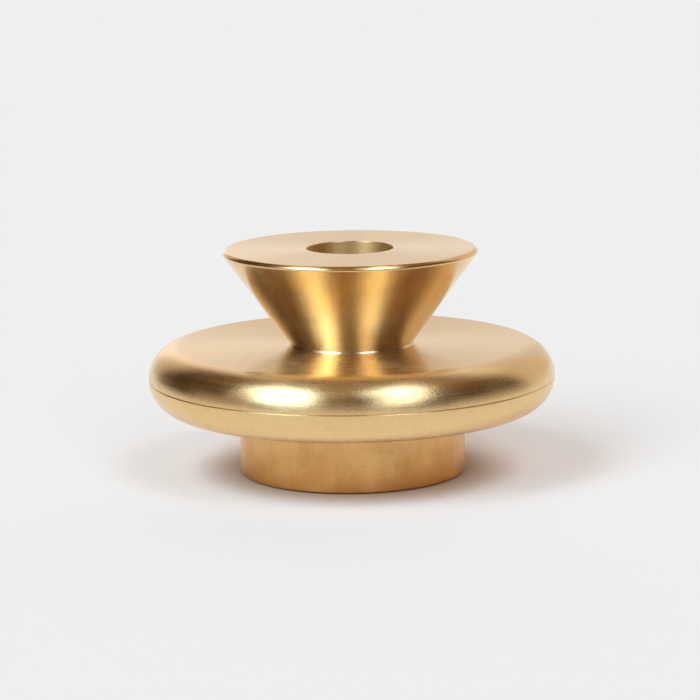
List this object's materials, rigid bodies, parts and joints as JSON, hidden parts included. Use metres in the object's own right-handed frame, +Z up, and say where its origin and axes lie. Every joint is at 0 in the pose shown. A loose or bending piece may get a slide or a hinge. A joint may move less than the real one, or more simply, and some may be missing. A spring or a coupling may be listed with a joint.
{
  "type": "taper candle holder",
  "caption": "Low candle holder of turned metal: an inverted cone with a socket for a taper candle, on a hollow disc with a half-round rim and a drum-shaped foot.",
  "frame": {"origin": "middle of the felt's underside, on the axis of revolution, at the surface that the holder stands on", "axes": "+Z up along the axis of revolution, towards the candle; the picture looks along +Y"},
  "size_m": [0.105, 0.105, 0.0583],
  "materials": {
    "satin_brass": "fine turned satin, lacquered",
    "plated_steel": "bright zinc plate",
    "felt": "dense dark wool felt"
  },
  "bodies": {
    "root": {"candle_cone": "satin_brass", "upper_disc_shell": "satin_brass", "lower_disc_shell": "satin_brass", "spacer_sleeve": "plated_steel", "foot": "satin_brass", "threaded_rod": "plated_steel", "flat_washer": "plated_steel", "spring_washer": "plated_steel", "hex_nut": "plated_steel", "base_plate": "plated_steel", "felt_pad": "felt"}
  },
  "joints": []
}
